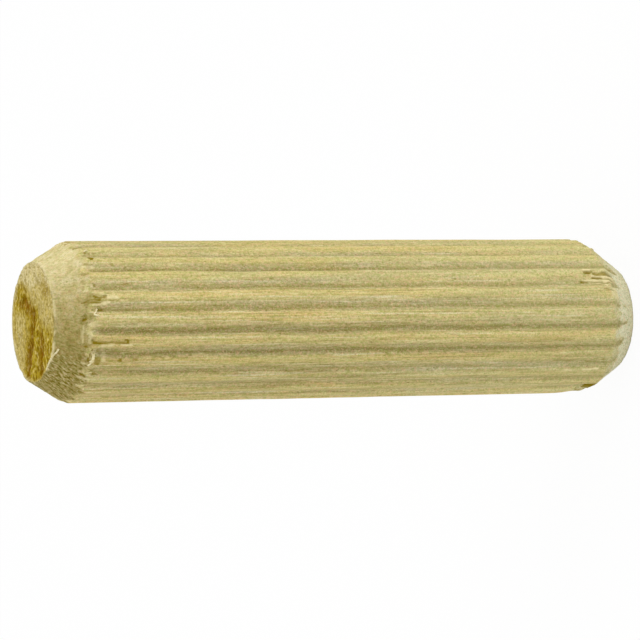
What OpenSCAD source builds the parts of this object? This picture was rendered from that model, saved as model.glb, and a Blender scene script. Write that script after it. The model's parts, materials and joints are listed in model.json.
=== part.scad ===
// Fluted wooden dowel pin, standing on one end.
// Z runs up the pin, and the origin is on the axis in the plane of the bottom end face.
// A turn is an angle about the axis, clockwise as seen from above, from the front (-Y).

/* [Pin] */
// Length from end face to end face
pin_length = 40; // [24:1:80]
// Diameter across the lands, the full-size strips between the flutes
pin_diameter = 10; // [8:0.5:16]

/* [Flutes] */
// Number of straight flutes around the pin
flute_count = 24; // [12:1:28]
// Width of a flute at its mouth
flute_width = 0.78; // [0.5:0.02:0.84]
// Depth of a flute below the lands
flute_depth = 0.26; // [0.12:0.02:0.34]

/* [Top chamfer] */
// Length of the chamfer along the pin
top_chamfer_length = 2.2; // [0.8:0.1:4]
// Depth that the chamfer takes off the radius at the end face
top_chamfer_depth = 1.27; // [0.4:0.01:2]

/* [Bottom chamfer] */
// Length of the chamfer along the pin
bottom_chamfer_length = 2.45; // [0.8:0.05:4]
// Depth that the chamfer takes off the radius at the end face
bottom_chamfer_depth = 1.65; // [0.4:0.01:2]
// Distance that the chamfer's own axis lies off the pin's axis
bottom_chamfer_shift = 0.28; // [0:0.02:0.5]
// Turn at which the chamfer's axis lies
bottom_chamfer_turn = 44; // [0:1:359]

/* [Splinter gap in a land near the top] */
// Distance from the top end face to the gap
splinter_from_top = 2.1; // [0.5:0.1:6]
// Length of the gap along the pin
splinter_length = 2.4; // [0.5:0.1:6]
// Width of the gap
splinter_width = 0.26; // [0.1:0.02:0.6]
// Depth of the gap below the land
splinter_depth = 0.12; // [0.04:0.02:0.4]
// Turn of the gap's middle
splinter_turn = 21.7; // [0:0.1:359]

/* [Torn land near the top] */
// Distance from the top end face to the tear
top_tear_from_top = 1.6; // [0.5:0.1:6]
// Length of the tear along the pin
top_tear_length = 1.4; // [0.5:0.1:6]
// Width of the tear
top_tear_width = 0.6; // [0.1:0.02:1.2]
// Depth of the tear below the land
top_tear_depth = 0.16; // [0.04:0.02:0.4]
// Turn of the tear's middle
top_tear_turn = 350.5; // [0:0.1:359.9]

/* [Torn land near the bottom] */
// Distance from the bottom end face to the tear
bottom_tear_from_bottom = 0.8; // [0.2:0.1:6]
// Length of the tear along the pin
bottom_tear_length = 2.9; // [0.5:0.1:6]
// Width of the tear
bottom_tear_width = 0.36; // [0.1:0.02:1.2]
// Depth of the tear below the land
bottom_tear_depth = 0.36; // [0.04:0.02:0.8]
// Turn of the tear's middle
bottom_tear_turn = 335.5; // [0:0.1:359.9]

/* [Flake lost near the bottom] */
// Distance from the bottom end face to the flake's bed
flake_from_bottom = 1.4; // [0.2:0.1:6]
// Length of the flake's bed along the pin
flake_length = 2; // [0.5:0.1:6]
// Width of the flake's bed
flake_width = 1.7; // [0.2:0.1:2.4]
// Depth of the flake's bed below the lands
flake_depth = 0.3; // [0.04:0.02:0.6]
// Turn of the bed's middle
flake_turn = 82; // [0:1:359]

/* [Hidden] */

pin_radius = pin_diameter / 2;

// A flute is cut by a round bar whose arc has the given depth, and the given width at the lands
mouth_radius = sqrt(pow(pin_radius, 2) - pow(flute_width / 2, 2));
mouth_depth = mouth_radius - (pin_radius - flute_depth);
bar_radius = (pow(flute_width / 2, 2) + pow(mouth_depth, 2)) / (2 * mouth_depth);
bar_distance = pin_radius - flute_depth + bar_radius;

// Radius of each chamfer cone at its end face, and what it gains for each millimetre along the pin
top_face_radius = pin_radius - top_chamfer_depth;
top_slope = top_chamfer_depth / top_chamfer_length;
bottom_face_radius = pin_radius - bottom_chamfer_depth;
bottom_slope = bottom_chamfer_depth / bottom_chamfer_length;

// Distance that cutters run past the surfaces they cut
past = 1;

// Children moved out from the axis by a distance, at a turn
module at_turn(turn, distance)
  rotate([0, 0, -turn])
    translate([0, -distance, 0])
      children();

// Round bars that plough the flutes, the first of them at the front
module flutes()
  for (i = [0 : flute_count - 1])
    at_turn(i * 360 / flute_count, bar_distance)
      translate([0, 0, -past])
        cylinder(h = pin_length + 2 * past, r = bar_radius, $fn = 96);

// The cone that bounds the bottom end, cut a little off centre
module bottom_cone()
  at_turn(bottom_chamfer_turn, bottom_chamfer_shift)
    cylinder(
      h = pin_length + past,
      r1 = bottom_face_radius,
      r2 = bottom_face_radius + bottom_slope * (pin_length + past),
      $fn = 96
    );

// The cone that bounds the top end
module top_cone()
  translate([0, 0, -past])
    cylinder(
      h = pin_length + past,
      r1 = top_face_radius + top_slope * (pin_length + past),
      r2 = top_face_radius,
      $fn = 96
    );

// A flat-bottomed bed where wood has torn away along the grain, from a height upwards
module torn_bed(height, length, turn, width, depth)
  at_turn(turn, pin_radius - depth)
    translate([-width / 2, -depth - past, height])
      cube([width, depth + past, length]);

module dowel_pin()
  color([0.80, 0.73, 0.51])
    difference() {
      intersection() {
        cylinder(h = pin_length, r = pin_radius, $fn = 96);
        bottom_cone();
        top_cone();
      }
      flutes();
      torn_bed(pin_length - splinter_from_top - splinter_length, splinter_length,
               splinter_turn, splinter_width, splinter_depth);
      torn_bed(pin_length - top_tear_from_top - top_tear_length, top_tear_length,
               top_tear_turn, top_tear_width, top_tear_depth);
      torn_bed(bottom_tear_from_bottom, bottom_tear_length,
               bottom_tear_turn, bottom_tear_width, bottom_tear_depth);
      torn_bed(flake_from_bottom, flake_length,
               flake_turn, flake_width, flake_depth);
    }

dowel_pin();
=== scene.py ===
# %% [markdown]
# # A fluted dowel pin
# A dowel pin joins two boards: half of it is glued into a hole in each. This one is a 40 mm length of pale
# hardwood. A die has ploughed 24 flutes along it, which let glue and air out of the hole, and the ridges
# left between them are its lands. A cutter has tapered both ends so that the pin starts easily. The
# construction model gives its sizes. This script gives it the surface of real, roughly machined wood: wavy
# flutes, torn fibres, a chewed end face and a colour that changes with the growth of the tree.

import json
import math

import bpy
import numpy as np
from mathutils import Matrix, Vector


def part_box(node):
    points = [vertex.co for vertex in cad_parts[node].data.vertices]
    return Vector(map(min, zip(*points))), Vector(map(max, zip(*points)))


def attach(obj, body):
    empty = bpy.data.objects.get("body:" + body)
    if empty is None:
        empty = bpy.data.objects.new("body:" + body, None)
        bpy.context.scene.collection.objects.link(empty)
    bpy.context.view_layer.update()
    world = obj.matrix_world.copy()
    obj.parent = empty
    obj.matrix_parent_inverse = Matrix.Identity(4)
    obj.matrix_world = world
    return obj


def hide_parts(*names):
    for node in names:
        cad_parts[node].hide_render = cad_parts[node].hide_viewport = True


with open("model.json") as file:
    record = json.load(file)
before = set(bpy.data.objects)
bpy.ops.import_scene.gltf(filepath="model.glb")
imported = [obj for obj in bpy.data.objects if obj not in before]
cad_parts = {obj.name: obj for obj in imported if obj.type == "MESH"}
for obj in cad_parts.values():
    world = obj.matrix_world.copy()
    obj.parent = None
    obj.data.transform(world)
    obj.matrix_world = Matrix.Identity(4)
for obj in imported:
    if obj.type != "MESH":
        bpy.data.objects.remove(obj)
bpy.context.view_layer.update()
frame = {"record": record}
MM = 0.001
low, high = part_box("dowel_pin")
shank = next(m for m in frame["record"]["mounts"] if m["name"] == "shank")
LENGTH = (high.z - low.z) / MM
RADIUS = shank["dims"]["r_mm"]
print(f"pin: {LENGTH:.1f} mm long, {2 * RADIUS:.1f} mm across the lands")

# %% [markdown]
# ## Two small helpers
# Colours are written as the sRGB hex values that a colour picker shows, and Blender computes with linear
# light, so one function converts them. Node trees are built with one more function, which adds a node,
# sets its options and connects it. An input can be a number, a socket, or a whole node, whose first output
# is then used.

# %% Colour and node helpers
def linear(hex_colour):
    """An sRGB hex colour as linear RGBA."""
    parts = [int(hex_colour[i:i + 2], 16) / 255 for i in (1, 3, 5)]
    return [c / 12.92 if c <= 0.04045 else ((c + 0.055) / 1.055) ** 2.4 for c in parts] + [1.0]


def add(tree, kind, inputs=(), **settings):
    """A new node. inputs is a list in socket order, or a dict by socket name; None leaves a socket alone."""
    node = tree.nodes.new(kind)
    for key, value in settings.items():
        setattr(node, key, value)
    live = [s for s in node.inputs if s.enabled]
    named = {s.name: s for s in reversed(live)}
    pairs = inputs.items() if isinstance(inputs, dict) else enumerate(inputs)
    for key, value in pairs:
        socket = named[key] if isinstance(key, str) else live[key]
        if isinstance(value, bpy.types.Node):
            value = next(s for s in value.outputs if s.enabled)
        if isinstance(value, bpy.types.NodeSocket):
            tree.links.new(value, socket)
        elif value is not None:
            socket.default_value = value
    return node


print("the hex colour #D2C682 in linear light:", [round(c, 3) for c in linear("#D2C682")[:3]])

# %% [markdown]
# ## Camera
# A small part is best seen from a few hand-widths away through a long lens, so that its outline hardly
# tapers. The pin stands on its end, as it can rest. The camera is turned on its side, so that the pin
# crosses the view from left to right with its top end face towards us. The camera's place could be typed in
# as three coordinates and three angles. It is worked out from directions round the pin instead, because
# those can be read and changed one at a time.

# %% Camera
CAMERA_TURN = 7.5                        # degrees clockwise from the front, as seen from above
CAMERA_HEIGHT = 24.45                    # degrees above the horizon
CAMERA_DISTANCE = 252.5 * MM
CAMERA_ROLL = 0.71                       # degrees that the pin rises towards the right of the view
AIM_OFFSET = (-0.58 * MM, -0.07 * MM)    # right and up from the middle of the pin
LENS, SENSOR = 223.7, 36.0               # millimetres
NEAREST, FURTHEST = 0.01, 10.0           # metres between which the camera sees
CENTRE = Vector((0, 0, LENGTH / 2 * MM))


def outward(turn):
    """The level direction at a turn, in degrees clockwise from the front as seen from above."""
    return Vector((-math.sin(math.radians(turn)), -math.cos(math.radians(turn)), 0))


def make_camera():
    """The camera, and its own directions up and back, away from what it sees."""
    tilt, roll = math.radians(CAMERA_HEIGHT), math.radians(CAMERA_ROLL)
    towards, up_pin = outward(CAMERA_TURN), Vector((0, 0, 1))
    back = math.cos(tilt) * towards + math.sin(tilt) * up_pin
    down_pin = math.sin(tilt) * towards - math.cos(tilt) * up_pin
    across_pin = back.cross(down_pin)
    right = math.cos(roll) * down_pin - math.sin(roll) * across_pin
    up = math.sin(roll) * down_pin + math.cos(roll) * across_pin
    place = CENTRE + CAMERA_DISTANCE * back
    aim = CENTRE + AIM_OFFSET[0] * right + AIM_OFFSET[1] * up
    back = (place - aim).normalized()
    right = up.cross(back).normalized()
    up = back.cross(right)
    data = bpy.data.cameras.new("camera")
    data.lens, data.sensor_width = LENS, SENSOR
    data.clip_start, data.clip_end = NEAREST, FURTHEST
    camera = bpy.data.objects.new("camera", data)
    camera.matrix_world = Matrix.Translation(place) @ Matrix((right, up, back)).transposed().to_4x4()
    bpy.context.collection.objects.link(camera)
    bpy.context.scene.camera = camera
    return camera, up, back


camera, view_up, view_back = make_camera()
print("camera at", [round(c, 4) for c in camera.location])

# %% [markdown]
# ## Even light
# The pin is shown against white, in the even light of a small white tent. Many lamps could give that light.
# A white world gives it with a few nodes, and leaves no lamp to be seen. Its light on the pin is a little
# weaker than pure white, while the camera still sees pure white past the pin.

# %% White world
TENT_LIGHT = 0.91


def make_world():
    """A world that lights things with TENT_LIGHT, and is pure white where it is seen or mirrored."""
    world = bpy.data.worlds.new("tent")
    world.use_nodes = True
    tree = world.node_tree
    tree.nodes.clear()
    path = add(tree, "ShaderNodeLightPath")
    seen = add(tree, "ShaderNodeMath", [path.outputs["Is Camera Ray"], path.outputs["Is Glossy Ray"]],
               operation="MAXIMUM")
    seen = add(tree, "ShaderNodeMath", [seen, path.outputs["Is Transmission Ray"]], operation="MAXIMUM")
    tent = add(tree, "ShaderNodeBackground", {"Color": linear("#FFFFFF"), "Strength": TENT_LIGHT})
    white = add(tree, "ShaderNodeBackground", {"Color": linear("#FFFFFF"), "Strength": 1.0})
    mix = add(tree, "ShaderNodeMixShader", [seen, tent, white])
    add(tree, "ShaderNodeOutputWorld", [mix])
    return world


bpy.context.scene.world = make_world()
bpy.context.scene.view_settings.view_transform = "Standard"
print("world:", bpy.context.scene.world.name, "at", TENT_LIGHT)

# %% [markdown]
# ## One soft lamp
# Even light alone would flatten the flutes. A small lamp would draw them with hard shadows. So one large,
# soft, square lamp stands on the side that is up in the view, and is moved a little towards the camera and
# towards the pin's top. Each flute then shades itself softly.

# %% Lamp
LAMP_DISTANCE, LAMP_SIZE = 0.5, 0.35     # metres
LAMP_POWER = 0.62                        # watts
TOWARDS_CAMERA, TOWARDS_TOP = 0.45, 0.35


def make_lamp(direction):
    """A square soft lamp that looks at the middle of the pin from a direction."""
    data = bpy.data.lights.new("key", "AREA")
    data.shape, data.size, data.energy = "SQUARE", LAMP_SIZE, LAMP_POWER
    lamp = bpy.data.objects.new("key", data)
    lamp.location = CENTRE + direction.normalized() * LAMP_DISTANCE
    lamp.rotation_mode = "QUATERNION"
    lamp.rotation_quaternion = direction.to_track_quat("Z", "Y")
    bpy.context.collection.objects.link(lamp)
    return lamp


lamp = make_lamp(view_up + TOWARDS_CAMERA * view_back + Vector((0, 0, TOWARDS_TOP)))
print("lamp at", [round(c, 3) for c in lamp.location])

# %% [markdown]
# ## Floor
# The pin stands on a matt white board. A plain board would show its own shading, and a horizon where it
# meets the world. No board at all would leave the pin hanging in the air. So the board glows pure white
# for the camera, except for a small share that is really lit. That share keeps a trace of the pin's shadow.

# %% Floor
FLOOR_REACH = 2.0      # metres from the middle to each edge
FLOOR_GLOW = 0.93      # share of what the camera sees that is pure white


def make_floor():
    mesh = bpy.data.meshes.new("floor")
    corners = [(x * FLOOR_REACH, y * FLOOR_REACH, 0) for x, y in ((-1, -1), (1, -1), (1, 1), (-1, 1))]
    mesh.from_pydata(corners, [], [(0, 1, 2, 3)])
    floor = bpy.data.objects.new("floor", mesh)
    bpy.context.collection.objects.link(floor)
    material = bpy.data.materials.new("matt_white_board")
    material.use_nodes = True
    tree = material.node_tree
    tree.nodes.clear()
    path = add(tree, "ShaderNodeLightPath")
    share = add(tree, "ShaderNodeMath", [path.outputs["Is Camera Ray"], FLOOR_GLOW], operation="MULTIPLY")
    board = add(tree, "ShaderNodeBsdfDiffuse", {"Color": linear("#FAFAFA")})
    glow = add(tree, "ShaderNodeEmission", {"Color": linear("#FFFFFF"), "Strength": 1.0})
    mix = add(tree, "ShaderNodeMixShader", [share, board, glow])
    add(tree, "ShaderNodeOutputMaterial", [mix])
    mesh.materials.append(material)
    return floor


floor = make_floor()
print(f"the {floor.name} is {2 * FLOOR_REACH} m square")

# %% [markdown]
# ## The pin's shape
# The rod was pushed through a die, whose teeth ploughed the flutes, and a cutter then tapered its ends. The
# shape could be a cylinder with a cutting tool taken away for each flute. Then every flute would be alike,
# and the cuts would leave long thin triangles, in which no tear can be shaped. But a pin follows a rule: the
# same section all the way along, cut off by two cones. So it is made as a Geometry Nodes tree with its
# sizes as inputs. A flat grid is rolled up: its columns become angles round the pin, and its rows become
# rings. The tree works in millimetres and scales to metres at the end.

# %% Sizes
FLUTES = 24
FLUTE_WIDTH, FLUTE_DEPTH = 0.78, 0.24
FLUTE_SKEW = 0.42                        # how much steeper one side of a flute is than the other
FLUTE_DRIFT, DRIFT_TURN = 2.4, 8.0       # degrees: the die's teeth crowd on two sides and spread between
WAVINESS = 1.0                           # how much a flute sways and changes its depth; 0 is a straight one
TOP_CHAMFER = (2.2, 1.27)                # length along the pin, depth off the radius
BOTTOM_CHAMFER = (2.45, 1.65)
BOTTOM_SHIFT, BOTTOM_TURN = 0.28, 44.0   # how far the bottom cone is off centre, and towards which turn
RAGGED = 0.16                            # how much the cutter followed the grain instead of a true cone
COLUMNS_PER_FLUTE = 20
SEED = 7
print(f"{FLUTES} flutes, {2 * math.pi * RADIUS / FLUTES:.2f} mm apart")

# %% [markdown]
# ### Starting a tree, and growing a mesh from it
# Both pieces of this pin are grown by a tree. Its modifier could stay on the object, but the visual model
# has to be a plain mesh. Instead the tree's result is read once into a plain mesh, and the modifier is
# removed.

# %% New tree and grown mesh
def new_tree(name, sizes, material):
    """A tree with a named input for each size and for the material. Returns it and its inputs."""
    tree = bpy.data.node_groups.new(name, "GeometryNodeTree")
    tree.interface.new_socket("Geometry", in_out="OUTPUT", socket_type="NodeSocketGeometry")
    tree.interface.new_socket("Geometry", in_out="INPUT", socket_type="NodeSocketGeometry")
    for key, value in sizes.items():
        kind = "NodeSocketInt" if isinstance(value, int) else "NodeSocketFloat"
        tree.interface.new_socket(key, in_out="INPUT", socket_type=kind).default_value = value
    tree.interface.new_socket(material, in_out="INPUT", socket_type="NodeSocketMaterial")
    return tree, add(tree, "NodeGroupInput").outputs


def grown(name, tree, values, start=None):
    """The mesh that a tree makes from start, as a plain object. values sets the tree's inputs by name."""
    holder = bpy.data.objects.new(name, start or bpy.data.meshes.new(name))
    bpy.context.collection.objects.link(holder)
    modifier = holder.modifiers.new("nodes", "NODES")
    modifier.node_group = tree
    for item in tree.interface.items_tree:
        if item.in_out == "INPUT" and item.name in values:
            modifier[item.identifier] = values[item.name]
    shown = holder.evaluated_get(bpy.context.evaluated_depsgraph_get())
    mesh = bpy.data.meshes.new_from_object(shown)
    holder.modifiers.clear()
    holder.data = mesh
    return holder


print("Geometry Nodes of Blender", bpy.app.version_string)

# %% [markdown]
# ### Rings
# The rings run outwards across the bottom face, up the side, and inwards across the top face. Evenly spaced
# rings would waste points on the plain middle. So they are laid in stretches, close together at the ends,
# where the wood is torn, and further apart between.

# %% Rings
STRETCHES = [
    # name, how many rings, height of its last ring, how far out that ring is, from 0 at the axis to 1
    ("bottom face", 5, 0.0, 1.0),
    ("bottom end", 41, 4.4, 1.0),
    ("middle", 58, LENGTH - 5.4, 1.0),
    ("top end", 66, LENGTH, 1.0),
    ("top face", 34, LENGTH, 0.0),
]
RINGS = sum(rings for _, rings, _, _ in STRETCHES)


def ring_places(tree, ring):
    """Each ring's height in millimetres, and how far out it is. Each stretch adds its own rise and step."""
    height, spread = None, None
    first, last_height, last_spread = 0, 0.0, 0.0
    for name, rings, next_height, next_spread in STRETCHES:
        done = add(tree, "ShaderNodeMapRange", [ring, first, first + rings, 0.0, 1.0], label=name)
        if next_height != last_height:
            height = add(tree, "ShaderNodeMath", [done, next_height - last_height, height or 0.0],
                         operation="MULTIPLY_ADD")
        if next_spread != last_spread:
            spread = add(tree, "ShaderNodeMath", [done, next_spread - last_spread, spread or 0.0],
                         operation="MULTIPLY_ADD")
        first, last_height, last_spread = first + rings, next_height, next_spread
    return height, spread


print(f"{RINGS} rings of {FLUTES * COLUMNS_PER_FLUTE} columns")

# %% [markdown]
# ### Where the flutes lie
# A point has to know which flute it is near, and how far across it. With even spacing that is one division.
# The teeth of this die stand a little unevenly, so the turn is first moved by a slow sine, twice round the
# pin.

# %% The nearest flute
def flute_place(tree, size, turn):
    """The number of the nearest flute, and the place across it, from -0.5 to 0.5 of the spacing."""
    drift = add(tree, "ShaderNodeMath", [turn, size["Drift Turn"]], operation="SUBTRACT")
    drift = add(tree, "ShaderNodeMath", [drift, 2.0], operation="MULTIPLY")
    drift = add(tree, "ShaderNodeMath", [drift], operation="SINE")
    drift = add(tree, "ShaderNodeMath", [drift, size["Flute Drift"]], operation="MULTIPLY")
    drifted = add(tree, "ShaderNodeMath", [turn, drift], operation="SUBTRACT")
    drifted = add(tree, "ShaderNodeMath", [drifted, 2 * math.pi], operation="DIVIDE")
    flute_at = add(tree, "ShaderNodeMath", [drifted, size["Flutes"]], operation="MULTIPLY")
    nearest = add(tree, "ShaderNodeMath", [flute_at], operation="ROUND")
    number = add(tree, "ShaderNodeMath", [nearest, size["Flutes"]], operation="FLOORED_MODULO")
    within = add(tree, "ShaderNodeMath", [flute_at, nearest], operation="SUBTRACT")
    return number, within


print(f"flutes lie up to {FLUTE_DRIFT:.1f} of {360 / FLUTES:.0f} degrees off an even spacing")

# %% [markdown]
# ### How a flute wanders
# Wood is harder in one place than in the next, so a tooth sways and ploughs deeper in places. Straight
# flutes would look moulded. Slow noise along each flute gives two values, for its sway and its depth. Every
# flute reads its own lane of the noise, so that no two are alike.

# %% Sway and depth
BUMPS_PER_MM = 0.17      # of the noise, along the pin
LANES_APART = 3.7        # far enough for the noise in neighbouring lanes to differ


def flute_wander(tree, size, height, number):
    """How far a flute sways and how much deeper it is here, both about -0.5 to 0.5."""
    slow = add(tree, "ShaderNodeMath", [height, BUMPS_PER_MM], operation="MULTIPLY")
    lane = add(tree, "ShaderNodeMath", [number, LANES_APART], operation="MULTIPLY")
    where = add(tree, "ShaderNodeCombineXYZ", [slow, lane, size["Seed"]])
    wander = add(tree, "ShaderNodeTexNoise", {"Vector": where, "Scale": 1.0, "Detail": 3.0})
    wander = add(tree, "ShaderNodeSeparateXYZ", [wander.outputs["Color"]])
    sideways = add(tree, "ShaderNodeMath", [wander.outputs["X"], 0.5], operation="SUBTRACT")
    sideways = add(tree, "ShaderNodeMath", [sideways, size["Waviness"]], operation="MULTIPLY")
    deeper = add(tree, "ShaderNodeMath", [wander.outputs["Y"], 0.5], operation="SUBTRACT")
    deeper = add(tree, "ShaderNodeMath", [deeper, size["Waviness"]], operation="MULTIPLY")
    return sideways, deeper


print(f"the noise has a bump every {1 / BUMPS_PER_MM:.1f} mm along a flute")

# %% [markdown]
# ### The section of a flute
# A tooth leaves a valley with a sharp bottom, one steeper side, and lips that round into the lands. It could
# be a curve drawn by hand. Here it is a formula: a slightly rounded V, leant to one side, whose upper part
# is joined smoothly to the round pin.

# %% Flute section
SWAY = 0.26                      # share of the spacing that a flute can sway
DEPTH_CHANGE = 1.1               # how much its depth changes along it
BOTTOM_ROUND = 0.003             # how round the V is at its bottom; 0 is a sharp corner
V_SLOPE, V_DEPTH = 2.1, 1.10     # how fast the V gets shallower across, and how deep it is at its bottom
LIP_ROUND = 0.25                 # how softly it joins the land


def flute_section(tree, size, within, sideways, deeper):
    """How far a point is down its flute, from 0 on the land to about 1, and its distance from the axis."""
    pitch = add(tree, "ShaderNodeMath", [size["Radius"], 2 * math.pi], operation="MULTIPLY")
    pitch = add(tree, "ShaderNodeMath", [pitch, size["Flutes"]], operation="DIVIDE")
    wandered = add(tree, "ShaderNodeMath", [sideways, SWAY, within], operation="MULTIPLY_ADD")
    across = add(tree, "ShaderNodeMath", [wandered, pitch], operation="MULTIPLY")
    across = add(tree, "ShaderNodeMath", [across, size["Flute Width"]], operation="DIVIDE")
    apart = add(tree, "ShaderNodeMath", [across, across], operation="MULTIPLY")
    apart = add(tree, "ShaderNodeMath", [apart, BOTTOM_ROUND], operation="ADD")
    apart = add(tree, "ShaderNodeMath", [apart], operation="SQRT")
    apart = add(tree, "ShaderNodeMath", [across, size["Flute Skew"], apart], operation="MULTIPLY_ADD")
    bowl = add(tree, "ShaderNodeMath", [apart, -V_SLOPE, V_DEPTH], operation="MULTIPLY_ADD")
    bowl = add(tree, "ShaderNodeMath", [bowl, 0.0, LIP_ROUND], operation="SMOOTH_MAX")
    deepest = add(tree, "ShaderNodeMath", [deeper, DEPTH_CHANGE, 1.0], operation="MULTIPLY_ADD")
    deepest = add(tree, "ShaderNodeMath", [deepest, size["Flute Depth"]], operation="MULTIPLY")
    depth = add(tree, "ShaderNodeMath", [bowl, deepest], operation="MULTIPLY")
    fluted = add(tree, "ShaderNodeMath", [size["Radius"], depth], operation="SUBTRACT")
    return bowl, fluted


print(f"flutes {FLUTE_WIDTH} mm wide and {FLUTE_DEPTH} mm deep")

# %% [markdown]
# ### The tapers
# The cutter leaves a cone at each end, the lower one off the axis, and both as ragged as its blunt edge and
# the grain made them. A cone is a line from the end face's radius outwards, with a little noise on it. The
# noise reads a place on a circle, not the turn, so that it closes round the pin.

# %% Cones
BUMPS_ROUND, BUMPS_ALONG = 7.0, 0.9      # of the noise: for each radian, and for each millimetre


def ragged_noise(tree, sine, cosine, height):
    """Noise about 0 at a place on the cones, for how far the cutter strayed."""
    near = add(tree, "ShaderNodeCombineXYZ", [sine, cosine, height])
    near = add(tree, "ShaderNodeVectorMath", [near, (BUMPS_ROUND, BUMPS_ROUND, BUMPS_ALONG)],
               operation="MULTIPLY")
    ragged = add(tree, "ShaderNodeTexNoise", {"Vector": near, "Scale": 1.0, "Detail": 4.0})
    return add(tree, "ShaderNodeMath", [ragged, 0.5], operation="SUBTRACT")


def cone(tree, size, end, from_end, off_centre, ragged):
    """A cone's distance from the axis. end is Top or Bottom, and from_end is the distance from that end."""
    length, depth = size[f"{end} Chamfer Length"], size[f"{end} Chamfer Depth"]
    slope = add(tree, "ShaderNodeMath", [depth, length], operation="DIVIDE")
    face = add(tree, "ShaderNodeMath", [size["Radius"], depth], operation="SUBTRACT")
    face = add(tree, "ShaderNodeMath", [face, off_centre], operation="ADD")
    taper = add(tree, "ShaderNodeMath", [from_end, slope, face], operation="MULTIPLY_ADD")
    return add(tree, "ShaderNodeMath", [ragged, size["Raggedness"], taper], operation="MULTIPLY_ADD")


def cones(tree, size, turn, height, ragged):
    """The top cone and the bottom one, which is shifted off the axis."""
    down = add(tree, "ShaderNodeMath", [size["Length"], height], operation="SUBTRACT")
    from_shift = add(tree, "ShaderNodeMath", [turn, size["Bottom Turn"]], operation="SUBTRACT")
    lean = add(tree, "ShaderNodeMath", [from_shift], operation="COSINE")
    lean = add(tree, "ShaderNodeMath", [lean, size["Bottom Shift"]], operation="MULTIPLY")
    return cone(tree, size, "Top", down, 0.0, ragged), cone(tree, size, "Bottom", height, lean, ragged)


for end, (length, depth) in (("top", TOP_CHAMFER), ("bottom", BOTTOM_CHAMFER)):
    print(f"{end} cone: {math.degrees(math.atan2(depth, length)):.0f} degrees off the pin's direction")

# %% [markdown]
# ### Rolling up
# The section and the cones meet in a soft edge, since the wood crumbles there. A grid has a plain layout
# that never breaks, whatever the sizes, so a grid is rolled round the axis, and the points on the axis and
# along the seam are merged. It could be a curve swept along the pin, but then no flute could wander.

# %% Side and roll
CUT_FROM, CUT_TO = -0.03, 0.10      # millimetres cut away, between which the cutter's finish takes over
EDGE_ROUND = 0.10                   # millimetres over which side and cone blend
MERGE = 1e-7                        # metres


def side_and_cut(tree, fluted, top_cone, bottom_cone):
    """The side's distance from the axis, and how much of the surface here is the cutter's, from 0 to 1."""
    nearest_cone = add(tree, "ShaderNodeMath", [top_cone, bottom_cone], operation="MINIMUM")
    cut = add(tree, "ShaderNodeMath", [fluted, nearest_cone], operation="SUBTRACT")
    cut = add(tree, "ShaderNodeMapRange", [cut, CUT_FROM, CUT_TO, 0.0, 1.0])
    side = add(tree, "ShaderNodeMath", [fluted, top_cone, EDGE_ROUND], operation="SMOOTH_MIN")
    side = add(tree, "ShaderNodeMath", [side, bottom_cone, EDGE_ROUND], operation="SMOOTH_MIN")
    return side, cut


def rolled_up(tree, shape, out, sine, cosine, height):
    """The grid, rolled round the axis, closed, and with its faces outwards."""
    x = add(tree, "ShaderNodeMath", [out, sine], operation="MULTIPLY")
    y = add(tree, "ShaderNodeMath", [out, cosine], operation="MULTIPLY")
    place = add(tree, "ShaderNodeCombineXYZ", [x, y, height])
    place = add(tree, "ShaderNodeVectorMath", [place, (-MM, -MM, MM)], operation="MULTIPLY")
    shape = add(tree, "GeometryNodeSetPosition", {"Geometry": shape, "Position": place})
    shape = add(tree, "GeometryNodeMergeByDistance", {"Geometry": shape, "Distance": MERGE})
    return add(tree, "GeometryNodeFlipFaces", {"Mesh": shape})


print(f"the cutter's finish takes over within {CUT_TO - CUT_FROM:.2f} mm")

# %% [markdown]
# ### The whole tree
# Now each point of the grid gets its ring, its flute and its cones, and is rolled up. One long tree could do
# the same without these functions, but it would be hard to follow. Three values stay on the points, because
# the next steps need them: how far down a flute a point is, how much of it the cutter made, and how far out
# its ring is.

# %% The tree's inputs
PIN_INPUTS = {
    "Length": LENGTH, "Radius": RADIUS, "Flutes": FLUTES,
    "Flute Width": FLUTE_WIDTH, "Flute Depth": FLUTE_DEPTH, "Flute Skew": FLUTE_SKEW,
    "Flute Drift": math.radians(FLUTE_DRIFT), "Drift Turn": math.radians(DRIFT_TURN),
    "Top Chamfer Length": TOP_CHAMFER[0], "Top Chamfer Depth": TOP_CHAMFER[1],
    "Bottom Chamfer Length": BOTTOM_CHAMFER[0], "Bottom Chamfer Depth": BOTTOM_CHAMFER[1],
    "Bottom Shift": BOTTOM_SHIFT, "Bottom Turn": math.radians(BOTTOM_TURN),
    "Waviness": WAVINESS, "Raggedness": RAGGED,
    "Columns": FLUTES * COLUMNS_PER_FLUTE, "Rings": RINGS, "Seed": SEED,
}
print(len(PIN_INPUTS), "sizes can be set")

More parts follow.
